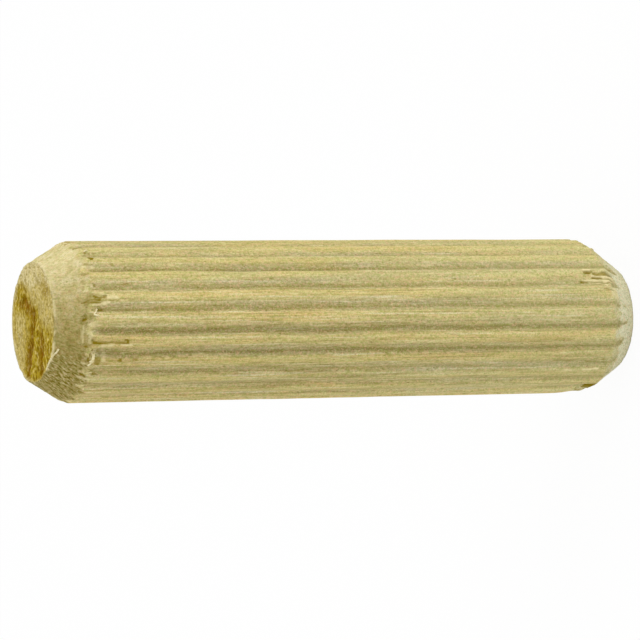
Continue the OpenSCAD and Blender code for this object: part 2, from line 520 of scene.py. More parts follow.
# %% The tree
def pin_tree():
    """A grid, shaped by flutes and cones and rolled up."""
    tree, size = new_tree("fluted_pin", PIN_INPUTS, "Wood")
    columns = add(tree, "ShaderNodeMath", [size["Columns"], 1.0], operation="ADD")
    rows = add(tree, "ShaderNodeMath", [size["Rings"], 1.0], operation="ADD")
    grid = add(tree, "GeometryNodeMeshGrid",
               {"Size X": 1.0, "Size Y": 1.0, "Vertices X": columns, "Vertices Y": rows})
    uv = add(tree, "ShaderNodeSeparateXYZ", [grid.outputs["UV Map"]])
    ring = add(tree, "ShaderNodeMath", [uv.outputs["Y"], size["Rings"]], operation="MULTIPLY")
    turn = add(tree, "ShaderNodeMath", [uv.outputs["X"], 2 * math.pi], operation="MULTIPLY")
    sine = add(tree, "ShaderNodeMath", [turn], operation="SINE")
    cosine = add(tree, "ShaderNodeMath", [turn], operation="COSINE")

    height, spread = ring_places(tree, ring)
    number, within = flute_place(tree, size, turn)
    sideways, deeper = flute_wander(tree, size, height, number)
    bowl, fluted = flute_section(tree, size, within, sideways, deeper)
    ragged = ragged_noise(tree, sine, cosine, height)
    top_cone, bottom_cone = cones(tree, size, turn, height, ragged)
    side, cut = side_and_cut(tree, fluted, top_cone, bottom_cone)
    out = add(tree, "ShaderNodeMath", [side, spread], operation="MULTIPLY")

    shape = grid.outputs["Mesh"]
    for name, value in (("flute", bowl), ("cut", cut), ("spread", spread)):
        shape = add(tree, "GeometryNodeStoreNamedAttribute", [shape, None, name, value],
                    data_type="FLOAT", domain="POINT")
    shape = rolled_up(tree, shape, out, sine, cosine, height)
    shape = add(tree, "GeometryNodeSetShadeSmooth", {"Geometry": shape})
    shape = add(tree, "GeometryNodeRealizeInstances", [shape])
    shape = add(tree, "GeometryNodeSetMaterial", {"Geometry": shape, "Material": size["Wood"]})
    add(tree, "NodeGroupOutput", [shape])
    return tree


wood = bpy.data.materials.new("beech_ploughed_long_grain")
pin = grown("dowel_pin_wood", pin_tree(), PIN_INPUTS | {"Wood": wood})
print(f"pin: {len(pin.data.vertices)} vertices, {len(pin.data.polygons)} faces")

# %% [markdown]
# ## Measure every point
# The tears and chips follow no rule, so they are sculpted: each one pushes the points near it in or out. A
# sculpting brush could do it. Numbers are used instead, because they can be read, repeated and changed. For
# that every point of the mesh needs a place that a woodworker would give: its turn round the pin, its
# distance from the top end, and how far out it is. The same places drive the colours, which are stored on
# the points as named attributes.

# %% Places on the pin
def read_points(mesh):
    points = np.empty(len(mesh.vertices) * 3)
    mesh.vertices.foreach_get("co", points)
    return points.reshape(-1, 3) / MM


def read_attribute(mesh, name):
    values = np.empty(len(mesh.vertices))
    mesh.attributes[name].data.foreach_get("value", values)
    return values


xyz = read_points(pin.data)
flute = read_attribute(pin.data, "flute")
cut = read_attribute(pin.data, "cut")
spread = read_attribute(pin.data, "spread")
turns = np.degrees(np.arctan2(-xyz[:, 0], -xyz[:, 1]))
out = np.hypot(xyz[:, 0], xyz[:, 1])
rise = xyz[:, 2]
below = LENGTH - rise
top_half, bottom_half = below < LENGTH / 2, rise < LENGTH / 2
on_side = spread > 0.999
on_top, on_bottom = ~on_side & top_half, ~on_side & bottom_half
print(f"{on_side.sum()} points on the side, {on_top.sum()} on the top face, {on_bottom.sum()} underneath")

# %% [markdown]
# ## Noise and soft steps
# Torn wood is uneven at every size. A script can ask Blender for noise at one place at a time, which is slow
# for a hundred thousand points. So a small noise that takes them all at once is written here: random values
# at the corners of a grid of cells, smoothly joined. Stretched along the pin, it looks like grain. Soft steps
# and soft bells then say where on the pin something is.

# %% Noise
STIR_X, STIR_Y, STIR_Z, STIR_SEED = 73856093, 19349663, 83492791, 7919
STIR_AGAIN, STIR_SHIFTS = 1274126177, (13, 16, 15)
LARGEST = 0xFFFFFFFF


def lattice_noise(points, seed):
    """Smooth noise from 0 to 1 at each row of points, with about one bump per unit of length."""
    cell = np.floor(points).astype(np.int64)
    part = points - cell
    part = part * part * (3 - 2 * part)
    total = np.zeros(len(points))
    for corner in range(8):
        step = np.array([corner & 1, corner >> 1 & 1, corner >> 2])
        # large odd numbers and shifts stir the bits, so that neighbouring corners get unlike values
        key = (cell + step) @ np.array([STIR_X, STIR_Y, STIR_Z]) + seed * STIR_SEED
        for shift in STIR_SHIFTS:
            key = ((key ^ (key >> shift)) * STIR_AGAIN) & LARGEST
        total += np.prod(np.where(step, part, 1 - part), axis=1) * key / LARGEST
    return total


def grain_noise(across, along, seed):
    """Noise whose bumps are across wide and along long, in millimetres."""
    return lattice_noise(xyz / (across, across, along), seed)


sample = grain_noise(0.5, 5.0, 0)
print(f"noise from {sample.min():.2f} to {sample.max():.2f}, about {sample.mean():.2f}")

# %% Soft steps and bells
def ease(value):
    """A smooth step, from 0 where value is 0 to 1 where it is 1."""
    value = np.clip(value, 0, 1)
    return value * value * (3 - 2 * value)


def between(value, start, stop, soft):
    """1 from start to stop, easing to 0 over soft millimetres outside them."""
    return ease((value - start) / soft + 1) * ease((stop - value) / soft + 1)


def near_turn(turn, width):
    """1 at a turn, fading smoothly to both sides. width is in degrees."""
    return np.exp(-(((turns - turn) / width) ** 2))


def arc(turn):
    """Distance round the pin from a turn, in millimetres at the full radius."""
    return np.radians((turns - turn + 180) % 360 - 180) * RADIUS


print(f"{(near_turn(0, 10) > 0.5).sum()} points lie within 8 degrees of the front")

# %% [markdown]
# ## What the next steps add to
# Four values are kept for each point while the pin is sculpted: how far it is pushed outwards, how far it
# is lifted, how dark the inside of a tear makes it, and how pale a lifted fibre makes it. Moving the points
# once, at the end, keeps each step's place on the pin from depending on the steps before it.

# %% Values to fill
STRAY, FRAY = 0.14, 0.13      # millimetres over which a strip's line strays, and its edges fray

push = np.zeros(len(xyz))     # millimetres outwards
lift = np.zeros(len(xyz))     # millimetres upwards
dark = np.zeros(len(xyz))     # 0 to about 1
pale = np.zeros(len(xyz))     # 0 to about 1
wobble = (grain_noise(0.5, 0.6, 1) - 0.5) * STRAY
fray = (grain_noise(0.11, 0.35, 9) - 0.5) * FRAY
broken = 0.35 + 1.2 * grain_noise(0.14, 0.16, 12)      # how much of a pale fibre is left, in crumbs
uneven = 0.65 + 0.65 * grain_noise(0.13, 0.22, 15)     # how dark a tear's inside is, in spots
print(f"strips stray from {wobble.min():.2f} to {wobble.max():.2f} mm")

# %% [markdown]
# ## Torn fibres on the side
# The die and the cutter pull at the wood where its fibres run out of the surface, mostly where a flute
# meets the taper. What comes away leaves a narrow slit with a dark bottom, and what only lifts stands up
# as a pale strip. They could be drawn into an image and wrapped round the pin, but a slit that is really
# cut in is dark from every side and throws its own shadow. So each is one row of numbers: its turn, where
# it starts and stops below the top end, its width, how deep or how high it is, how dark or how pale, and
# how far it slants per millimetre. A tear with no depth is only a stain.

# %% Tears near the top end
TEARS = [
    # turn, from, to, width, depth, darkness, slant
    (-10.6, 2.84, 3.06, 0.20, 0.07, 0.90, 0.0),
    (-9.9, 2.25, 2.95, 0.10, 0.06, 1.00, 0.0),
    (-8.3, 1.95, 2.60, 0.08, 0.05, 0.90, 0.0),
    (-11.6, 2.10, 2.80, 0.07, 0.03, 0.55, 0.0),
    (-6.5, 1.94, 2.62, 0.09, 0.05, 0.95, 0.0),
    (-7.0, 1.60, 1.92, 0.09, 0.05, 0.80, 0.0),
    (-7.6, 3.12, 3.74, 0.06, 0.03, 0.60, 0.0),
    (-9.3, 1.90, 3.06, 0.50, 0.02, 0.34, 0.0),
    (-0.9, 2.45, 2.86, 0.12, 0.05, 0.95, 0.1),
    (3.8, 1.56, 1.74, 0.10, 0.06, 0.90, -0.6),
    (5.8, 1.56, 1.80, 0.15, 0.09, 1.20, 0.6),
    (21.2, 2.10, 4.45, 0.30, 0.04, 0.26, 0.0),
    (22.6, 2.12, 2.66, 0.10, 0.07, 1.15, 0.0),
    (22.9, 2.30, 4.44, 0.10, 0.06, 0.85, 0.0),
    (22.0, 4.30, 4.44, 0.20, 0.06, 0.95, 0.0),
    (20.5, 4.12, 4.36, 0.08, 0.05, 0.80, 0.0),
    (28.5, 2.42, 2.62, 0.14, 0.02, 0.55, 0.0),
    # painted shadow of the lifted blade of fibres beside it, over a shallow notch
    (34.0, 1.90, 2.10, 0.22, 0.06, 1.10, 4.0),
    (25.8, 1.66, 1.82, 0.12, 0.04, 0.80, 0.0),
    (36.6, 2.38, 2.70, 0.48, 0.03, 0.72, 0.0),
    (35.4, 4.85, 5.15, 0.09, 0.03, 0.60, 0.0),
    (33.0, 3.00, 4.00, 0.66, 0.04, 0.12, 0.0),
    (36.0, 3.88, 4.12, 0.22, 0.04, 0.90, 0.0),
    (38.9, 3.00, 4.10, 0.06, 0.03, 0.35, 0.0),
    (49.8, 1.75, 1.98, 0.12, 0.07, 0.95, 0.0),
    (48.3, 2.42, 2.66, 0.13, 0.07, 0.95, 0.0),
    (46.0, 1.95, 2.40, 0.07, 0.06, 0.75, 0.1),
    (56.0, 2.05, 2.60, 0.07, 0.05, 0.60, 0.0),
    (64.0, 1.85, 2.12, 0.12, 0.06, 0.85, 0.0),
    (68.0, 2.00, 2.34, 0.10, 0.06, 0.80, 0.0),
    (74.0, 1.95, 2.30, 0.09, 0.05, 0.60, 0.0),
    (-44.4, 2.56, 2.74, 0.44, 0.00, 2.00, 0.0),
    (-51.4, 2.42, 2.52, 0.14, 0.00, 0.90, 0.0),
    (-50.7, 2.70, 2.80, 0.10, 0.00, 0.65, 0.0),
    (-51.0, 2.98, 3.10, 0.10, 0.00, 0.65, 0.0),
    (-37.7, 3.84, 3.98, 0.10, 0.03, 0.55, 0.0),
    (-19.7, 2.34, 2.52, 0.13, 0.03, 0.50, 0.0),
    (-20.7, 4.34, 4.58, 0.11, 0.03, 0.55, 0.0),
    (-38.0, 2.05, 2.45, 0.07, 0.05, 0.55, 0.0),
    (-29.0, 1.85, 2.20, 0.08, 0.04, 0.45, 0.0),
    # long scratches beside the flutes
    (-37.0, 12.0, 21.0, 0.12, 0.02, 0.22, 0.0),
    (40.5, 21.0, 27.0, 0.12, 0.02, 0.22, 0.0),
    (49.5, 14.5, 18.5, 0.12, 0.02, 0.26, 0.0),
    (66.5, 9.0, 15.0, 0.12, 0.02, 0.24, 0.0),
    (24.9, 29.5, 34.5, 0.40, 0.02, 0.22, 0.0),
]
RAISED = [
    # turn, from, to, width, height, paleness, slant
    (-5.8, 2.12, 3.15, 0.11, 0.03, 1.10, 0.16),
    (-9.9, 3.10, 3.74, 0.19, 0.03, 0.65, 0.0),
    (-15.8, 1.72, 1.90, 0.15, 0.04, 0.80, 0.0),
    (-12.9, 2.20, 3.00, 0.07, 0.03, 0.45, 0.0),
    (-4.8, 2.10, 2.90, 0.08, 0.03, 0.55, 0.0),
    (24.6, 2.45, 3.60, 0.12, 0.03, 0.60, 0.0),
    (24.0, 3.90, 4.58, 0.08, 0.02, 0.60, 0.0),
    (17.0, 1.50, 1.58, 1.20, 0.02, 0.45, 0.0),
    (21.0, 1.88, 1.98, 0.45, 0.03, 0.55, 0.0),
    (17.6, 1.84, 2.12, 0.26, 0.04, 0.50, 0.0),
    (33.5, 2.76, 3.04, 0.80, 0.01, 0.25, 0.0),
    (39.8, 3.20, 3.80, 0.07, 0.02, 0.60, 0.0),
    (39.4, 1.66, 1.90, 0.09, 0.03, 0.80, 0.0),
    (46.8, 1.95, 2.60, 0.08, 0.04, 0.75, -0.3),
    (63.5, 1.85, 2.30, 0.08, 0.04, 0.70, 0.0),
    (-36.0, 1.95, 2.60, 0.10, 0.03, 0.55, 0.0),
    (-20.0, 1.80, 2.30, 0.10, 0.03, 0.45, 0.0),
    (9.5, 1.85, 2.40, 0.14, 0.03, 0.45, 0.0),
    (15.5, 1.75, 2.05, 0.20, 0.03, 0.50, 0.0),
    (52.5, 1.80, 2.30, 0.12, 0.03, 0.50, 0.0),
    (60.5, 1.75, 2.20, 0.10, 0.03, 0.60, 0.0),
]
print(len(TEARS), "tears and", len(RAISED), "lifted strips near the top end")

# %% Cutting and lifting
STRIP_SOFT, ENDS_SOFT = 0.05, 0.06      # millimetres over which a strip's sides and ends fade
SHORT = 0.6                             # millimetres; a shorter strip frays less
END_FRAY = 2.5                          # how many times more the ends fray than the sides
END_WIDTH = 0.45                        # width at the ends, as a share of the width in the middle


def strip(turn, start, stop, width, slant=0.0):
    """How far each point is inside one strip along the grain: 1 within, 0 outside, with frayed edges."""
    loose = min(1.0, (stop - start) / SHORT)
    side = arc(turn) + 0.6 * wobble + loose * fray + slant * (below - (start + stop) / 2)
    ends = below + END_FRAY * loose * fray
    share = np.clip((ends - start) / (stop - start), 0, 1)
    half = width / 2 * (END_WIDTH + (1 - END_WIDTH) * np.sqrt(4 * share * (1 - share)))
    within = between(side, -half, half, min(STRIP_SOFT, 0.4 * width))
    return within * between(ends, start, stop, ENDS_SOFT) * on_side


def tear(turn, start, stop, width, depth, darkness, slant=0.0):
    mask = strip(turn, start, stop, width, slant)
    np.maximum(dark, darkness * mask * uneven, out=dark)
    np.minimum(push, -depth * mask, out=push)


def raise_fibres(turn, start, stop, width, height, paleness, slant=0.0):
    mask = strip(turn, start, stop, width, slant)
    np.maximum(pale, paleness * mask * broken, out=pale)
    push[:] += height * mask


for row in TEARS:
    tear(*row)
for row in RAISED:
    raise_fibres(*row)
print(f"{len(TEARS)} tears, deepest {-push.min():.2f} mm, and {len(RAISED)} lifted strips")

# %% [markdown]
# ## The bottom end
# At the other end one splinter has come out of the taper and left a deep, dark hole, with pale strands still
# hanging on both sides of it. It is made of the same tears and strips, so the same two functions serve. The
# rows are measured from the bottom, as one would measure them there, and then turned into distances from
# the top.

# %% Tears near the bottom end
BOTTOM_TEARS = [
    # turn, from, to (both above the bottom end), width, depth, darkness, slant
    (-25.9, 3.36, 3.82, 0.18, 0.11, 0.90, 0.00),
    (-25.4, 1.75, 3.22, 0.20, 0.12, 0.72, 0.02),
    (-21.9, 2.70, 3.32, 0.13, 0.08, 0.85, 0.00),
    (-21.2, 1.65, 2.70, 0.09, 0.05, 0.60, 0.00),
    (-18.6, 3.70, 4.25, 0.08, 0.04, 0.85, 0.00),
    (-18.4, 1.90, 3.50, 0.06, 0.03, 0.45, 0.00),
    (-16.8, 2.60, 3.40, 0.07, 0.05, 0.60, 0.00),
    (-27.4, 3.30, 3.95, 0.07, 0.05, 0.80, 0.00),
    (-12.0, 1.70, 2.60, 0.07, 0.04, 0.50, 0.00),
    (28.0, 4.48, 4.68, 0.15, 0.02, 0.75, 0.00),
    (43.5, 2.45, 6.20, 0.11, 0.02, 0.42, 0.00),
    (43.9, 4.78, 4.98, 0.17, 0.02, 0.70, 0.00),
    (43.4, 2.30, 2.48, 0.15, 0.03, 0.70, 0.00),
]
BOTTOM_RAISED = [
    # turn, from, to (both above the bottom end), width, height, paleness, slant
    (-28.6, 3.45, 3.95, 0.17, 0.04, 1.20, 0.00),
    (-28.2, 2.00, 3.00, 0.08, 0.03, 0.50, 0.00),
    (-23.6, 1.80, 3.40, 0.12, 0.03, 1.10, 0.00),
    (-20.0, 1.80, 4.00, 0.12, 0.03, 1.15, 0.00),
    (-17.0, 1.90, 3.40, 0.10, 0.03, 0.80, 0.00),
    (-8.8, 1.55, 2.15, 0.45, 0.02, 0.55, 0.00),
    (-13.5, 1.55, 1.95, 0.25, 0.02, 0.50, 0.00),
    (51.2, 2.60, 3.80, 0.14, 0.03, 1.00, 0.00),
    (51.6, 4.45, 5.10, 0.13, 0.02, 0.70, 0.00),
]
for turn, start, stop, *rest in BOTTOM_TEARS:
    tear(turn, LENGTH - stop, LENGTH - start, *rest)
for turn, start, stop, *rest in BOTTOM_RAISED:
    raise_fibres(turn, LENGTH - stop, LENGTH - start, *rest)
print(f"{len(BOTTOM_TEARS)} tears and {len(BOTTOM_RAISED)} lifted strips at the bottom")

# %% [markdown]
# ### The lost flake
# Low on the side a flake has split off. Its bed has one straight edge, where the wood split along the
# grain, and splintered ends, and it is drawn darker and browner than the outside. A block could be cut away
# there, but its faces would be too clean. So the bed is a product of soft steps: one for each edge, two of
# them ragged.

# %% The flake's bed
FLAKE_EDGE, FLAKE_WIDTH = 70.5, 1.70       # the turn of its straight edge, and millimetres from there
FLAKE_FROM, FLAKE_TO = 1.45, 2.95          # millimetres above the bottom end
FLAKE_DEPTH, SPLINTER_LENGTH = 0.18, 1.3
SHAVED_TURN, SHAVED_RISE, SHAVED_DEPTH = 95, 2.6, 0.11

splinters = SPLINTER_LENGTH * (grain_noise(0.14, 5.0, 18) - 0.5)
inside = arc(FLAKE_EDGE) + 0.4 * fray
bed = ease(inside / 0.08) * ease((FLAKE_WIDTH - inside) / 0.60) * on_side
bed = bed * ease((FLAKE_TO + splinters - rise) / 0.15)
push -= FLAKE_DEPTH * bed * ease((rise - FLAKE_FROM) / 1.1)
bed = bed * ease((rise + 0.5 * splinters - FLAKE_FROM) / 0.20)
np.maximum(dark, bed * (1.00 + 1.0 * (grain_noise(0.13, 1.5, 19) - 0.5)), out=dark)

# beyond the flake, the corner between side and taper is shaved off a little
shaved = np.exp(-((arc(SHAVED_TURN) / 1.3) ** 2) - ((rise - SHAVED_RISE) / 0.8) ** 2)
push -= SHAVED_DEPTH * shaved * on_side
print(f"{(bed > 0.5).sum()} points in the flake's bed")

# %% [markdown]
# ### Tears round the back
# The back is torn like the front. Its tears don't have to be anywhere in particular, so they are drawn at
# random, one pair at each end for every few degrees. A fixed seed gives the same ones each time.

# %% Random tears
rng = np.random.default_rng(SEED)
for turn in np.arange(95, 305, 8.0):
    for first, last in ((1.7, 2.3), (37.0, 37.8)):
        start, run = rng.uniform(first, last), rng.uniform(0.2, 1.1)
        tear(turn + rng.uniform(-4, 4), start, start + run, rng.uniform(0.07, 0.18),
             rng.uniform(0.04, 0.09), rng.uniform(0.5, 0.95))
        raise_fibres(turn + rng.uniform(-4, 4), start - 0.2, start + run, rng.uniform(0.07, 0.14),
                     rng.uniform(0.02, 0.04), rng.uniform(0.3, 0.7))
print(f"{(dark > 0.5).sum()} points are dark now, and {(pale > 0.3).sum()} pale")

# %% [markdown]
# ## Streaks along the lands
# The die leaves the lands streaky. Single streaks could be drawn like the tears, but there are hundreds, and
# no one looks at any one of them. So two noises that are narrow across the grain and long along it make them.

# %% Streaks
STREAK_HEIGHT = 0.030      # millimetres

streaks = grain_noise(0.16, 2.6, 2) + 0.6 * grain_noise(0.45, 6.0, 3) - 0.8
push += STREAK_HEIGHT * streaks * on_side * (1 - 0.5 * cut)
print(f"streaks up to {STREAK_HEIGHT * streaks.max():.3f} mm")

# %% [markdown]
# ## Where the flutes end
# At the bottom end the flutes run on a little way over the taper, because the die reached deeper than the
# cutter. At the top end they start gradually. And on parts of the pin they are shallower, where the die's
# teeth were worn. Each could be a change to the tree, but here they are small corrections to the depth that
# the tree gave, so that the tree stays easy to read.

# %% Run-on, lead-in and worn teeth
RUN_ON_DEPTH, LAND_RISE = 0.13, 0.10       # millimetres
RUN_ON_FROM, RUN_ON_TO = 0.8, 8.0          # millimetres above the bottom end
LEAD_IN_FROM = 1.7                         # millimetres below the top end
WORN = [
    # turn and width in degrees, and how shallow the flutes are there; below 0 they are deeper
    (-56, 15, 0.35),
    (-9, 11, 0.12),
    (14.5, 6, -0.15),
    (46, 7, 0.22),
    (74, 17, 0.50),
]

faded = ease(rise - RUN_ON_FROM) * ease(RUN_ON_TO - rise)
push -= RUN_ON_DEPTH * flute * cut * faded * on_side
lead_in = 1 - ease(below - LEAD_IN_FROM)
push += LAND_RISE * flute * lead_in * (1 - cut) * on_side
worn = sum(share * near_turn(turn, width) for turn, width, share in WORN)
push += LAND_RISE * flute * worn * (1 - cut) * on_side
print(f"worn teeth leave up to {LAND_RISE * worn.max():.2f} mm in a flute")

# %% [markdown]
# ## The cutter's finish
# The cutter leaves the tapers lighter and rougher than the lands, up to an edge that follows the grain and
# dips into each flute. Its blade chattered, which left rings, and crushed the wood into crumbs, mostly on
# the side where it skidded. Noise that is stretched round the pin gives the rings, and fine, even noise the
# crumbs.

# %% Fresh wood, rings and crumbs
RING_HEIGHT, CRUMB_HEIGHT, SKID_CRUMB_HEIGHT = 0.020, 0.030, 0.050      # millimetres
FRESH_TO, FRESH_SOFT = 1.30, 0.40          # millimetres above the bottom end, and over which it fades
RING_ROUND, RING_WIDTH = 2.2, 0.17         # millimetres round the pin, and along it
CRUMB_WIDTH = 0.17                         # millimetres
SKID_FROM, SKID_TO = 22, 130               # turns between which the blade skidded

# how high a point is over the bottom end, as the edge of the fresh wood sees it
edge = rise + 0.55 * flute + 0.9 * grain_noise(0.5, 3.0, 11) + 0.5 * grain_noise(0.2, 0.8, 16) - 0.7
fresh = cut * on_side * (1 - ease((edge - FRESH_TO) / FRESH_SOFT) * bottom_half)
groove = flute * on_side * (1 - fresh) * (1 - worn) * (1 - lead_in)
rings = lattice_noise(np.stack([arc(0) / RING_ROUND, below / RING_WIDTH, 0 * rise], axis=1), 4) - 0.5
crumbs = grain_noise(CRUMB_WIDTH, CRUMB_WIDTH, 5) - 0.5
skidded = ease((turns - SKID_FROM) / 26) * ease((SKID_TO - turns) / 40) * top_half
push += (RING_HEIGHT * rings + (CRUMB_HEIGHT + SKID_CRUMB_HEIGHT * skidded) * crumbs) * fresh
crumbly = fresh * np.where(top_half, 0.18 + 0.62 * skidded, 0.10)
print(f"crumbs up to {(CRUMB_HEIGHT + SKID_CRUMB_HEIGHT) * crumbs.max():.3f} mm")

# %% [markdown]
# ## Painted shade, a pale taper, shadowed flute ends and scratches
# The pin isn't shown equally light all round. The top taper is darker on its crushed side, which faces away
# from the lamp, and a stripe of the lands that faces the lamp is darker too: both are painted shade. A broad
# stripe of the lands round turn 48 is darker as well, and the bottom taper is paler than the rest. Where the
# flutes run out on it, painted shadow darkens their ends, where each stops at a small step. On one side, and
# in stripes elsewhere, a chipped die has also scratched the lands. Each is a broad, soft value, because a
# hard edge would look painted.

# %% Painted shade, pale taper, shadowed flute ends and scratches
# painted shade: the top taper darkened on its crushed side, away from the lamp
shade = fresh * ease((turns + 75) / 110) * ease((150 - turns) / 60) * top_half
# a broad stripe of the lands round turn 48 is darker
shade += 0.20 * near_turn(48, 32) * (1 - fresh) * on_side
# painted shade: a stripe of the lands that faces the lamp is darkened
shade += 0.12 * near_turn(-66, 18) * (1 - fresh) * on_side
pale_taper = (0.35 * cut + 0.65 * fresh) * on_side * bottom_half
# painted shadow at the end of each flute on the bottom taper, where it stops at a small step
flute_end_shadow = ease((groove - 0.45) / 0.4) * between(edge, 1.72, 2.20, 0.2) * cut * bottom_half
np.maximum(dark, 0.42 * flute_end_shadow * broken, out=dark)
scratched = near_turn(50, 28)
scratched = np.maximum(scratched, 0.7 * ease((lattice_noise(xyz / (3.5, 3.5, 60.0), 14) - 0.45) / 0.2))
scratched = scratched * on_side * (1 - fresh)
print(f"{(scratched > 0.5).mean():.0%} of the points are scratched")

# %% [markdown]
# ## The chewed end face
# A blunt saw has torn the top end rather than cut it. Bundles of fibres are bent over in one direction, and
# where they came out whole, brown hollows show. A displacement image could hold this, but the hollows have
# to follow a few places on the face. Two long bent lines and two short ones say where they run, in
# millimetres from the middle of the face: towards the front first, then to the right.

# %% Where the hollows run
FACE_TURN = 7.5      # degrees
toward, to_right = outward(FACE_TURN), outward(FACE_TURN - 90)
face_a = xyz[:, 0] * toward.x + xyz[:, 1] * toward.y
face_b = xyz[:, 0] * to_right.x + xyz[:, 1] * to_right.y

HOLLOWS = [
    # how brown, and the bent line
    (1.0, [(-2.3, 1.3), (-1.5, 1.15), (-0.2, 0.45), (-0.5, -1.2), (-1.1, -2.2), (-1.0, -3.1)]),
    (1.0, [(1.15, -0.9), (1.25, -2.0), (1.2, -3.1)]),
    (0.45, [(-2.1, 2.05), (-1.7, 1.95)]),
    (0.40, [(1.8, 2.4), (2.0, 1.9)]),
]


def line_distance(a, b, line):
    """Distance of each point (a, b) from a bent line."""
    nearest = np.full(len(a), np.inf)
    for (a0, b0), (a1, b1) in zip(line, line[1:]):
        along = ((a - a0) * (a1 - a0) + (b - b0) * (b1 - b0)) / ((a1 - a0) ** 2 + (b1 - b0) ** 2)
        along = np.clip(along, 0, 1)
        gap = np.hypot(a - a0 - along * (a1 - a0), b - b0 - along * (b1 - b0))
        nearest = np.minimum(nearest, gap)
    return nearest


print(f"{len(HOLLOWS)} hollows on a face {2 * out[on_top].max():.1f} mm across")

# %% Bundles and brown
HOLLOW_WIDTH = 0.52      # millimetres from a line to where most of the brown has faded
LINE_WIDTH, CLUMP_WIDTH, BUNDLE_LENGTH = 0.16, 0.55, 0.8      # millimetres
BUNDLE_LEAN = 0.16       # how far the fine lines lie aslant, as a slope

slanted = face_a + BUNDLE_LEAN * face_b
along_bundle = face_b / BUNDLE_LENGTH
torn_lines = lattice_noise(np.stack([slanted / LINE_WIDTH, along_bundle, 0 * rise], axis=1), 6)
clumps = lattice_noise(np.stack([face_a / CLUMP_WIDTH, along_bundle, 0 * rise], axis=1), 8)
on_face = on_top * ease((1 - spread) / 0.05)
brown = np.zeros(len(xyz))
for amount, line in HOLLOWS:
    gap = line_distance(face_a + 0.5 * (clumps - 0.5), face_b, line)
    brown = np.maximum(brown, amount * np.exp(-((gap / HOLLOW_WIDTH) ** 2)))
brown = brown * on_face * ease(0.30 + 1.0 * torn_lines)
print(f"{(brown > 0.5).sum()} points in the brown hollows")

# %% [markdown]
# ### Tones and depth of the face
# The face is golden where the saw rubbed it hot, and stays blond along one side. A single step between the
# two would look like a line, so the gold comes in two broad ones. The hollows, the fine lines and the clumps
# then press the face in. Nothing is raised, so that the pin keeps its length.

# %% Gold and relief
HOLLOW_DEPTH, LINE_DEPTH, CLUMP_DEPTH = 0.14, 0.26, 0.12      # millimetres

first_tone = ease((2.5 - face_b + 0.6 * (clumps - 0.5)) / 0.6)
full_tone = ease((1.6 - face_b - 0.5 * face_a + 0.8 * (clumps - 0.5)) / 1.2)
blond_side = np.exp(-(((face_a + 2.6) / 1.1) ** 2)) * between(face_b, -2.6, 0.2, 0.7)
gold = on_face * (0.45 * first_tone + 0.55 * full_tone) * (1 - 0.55 * blond_side)
lift -= on_face * (HOLLOW_DEPTH * brown + LINE_DEPTH * (torn_lines - 0.35) + CLUMP_DEPTH * (clumps - 0.3))
print(f"the face is pressed in by up to {-lift.min():.2f} mm")

# %% [markdown]
# ### The rim
# Where the face meets the taper the edge is crumbled, and its broken fibres catch the light. A bevel would
# give the same width everywhere. So a thin ring of points is moved in and out by noise, and painted pale only
# where that noise is high, and all along one side: pale broken fibres, with painted highlights on them. The
# top taper's side that faces the lamp is painted a little paler as well, which is painted light.

# %% Crumbled rim
RIM_HEIGHT = 0.14      # millimetres

rim_noise = 0.6 * grain_noise(0.35, 0.35, 10) + 0.4 * grain_noise(0.16, 0.16, 13)
rim = between(below, -1, 0.04, 0.09) * on_side + on_top * ease((spread - 0.965) / 0.03)
# pale broken fibres on the rim, with painted highlights where the noise is high and along one side
rim_share = 0.85 * ease((rim_noise - 0.47) / 0.13) + 0.5 * near_turn(42, 24)
pale = np.maximum(pale, 0.75 * rim * rim_share)
# painted light: the top taper paler on its side that faces the lamp
pale = np.maximum(pale, 0.30 * fresh * near_turn(-52, 20) * top_half)
push += RIM_HEIGHT * (rim_noise - 0.5) * rim
print(f"{(rim * rim_share > 0.5).sum()} pale points on the rim")

# %% [markdown]
# ## Move the points and store the colours
# Now every point moves once. Those on the side move along the radius. Those on the faces follow the rim
# near it and stay put further in. The values that the colours need go onto the points as attributes. Two of
# them are places instead of colours: distances along and across the slant of the cutter's skid marks.

# %% Move and store
SKID_SLANT = 0.5      # how far the skid marks lean, as a slope

push_all = push * np.where(on_side, 1.0, spread ** 6)
xyz[:, 0] *= 1 + push_all / np.maximum(out, 0.01)
xyz[:, 1] *= 1 + push_all / np.maximum(out, 0.01)
xyz[:, 2] += np.minimum(lift, 0)
pin.data.vertices.foreach_set("co", (xyz * MM).ravel())

COLOURING = {
    # shade holds painted shade on the top taper and on the lands facing the lamp, and a darker stripe of the
    # lands
    "dark": dark, "pale": pale, "fresh": fresh, "crumbly": crumbly, "shade": shade, "blond": pale_taper,
    # crease, flank and valley mark the flutes, which are painted darker: painted shade in the hollows, partly
    # dirt from the die
    "scratched": scratched, "crease": groove,
    "flank": ease((groove - 0.08) / 0.37), "valley": ease((groove - 0.45) / 0.50),
    "face": 1.0 - on_side, "gold": gold, "plain": (1.0 - on_side) * (1 - gold), "brown": brown,
    "straw": gold * (1 - 0.8 * brown), "toward_bottom": below / LENGTH,
    "skid_along": below + SKID_SLANT * arc(0), "skid_across": arc(0) - SKID_SLANT * below,
}
for name, values in COLOURING.items():
    pin.data.attributes.new(name, "FLOAT", "POINT").data.foreach_set("value", values)
pin.data.update()
print(f"moved {(push_all != 0).sum()} points, and stored {len(COLOURING)} values on each")
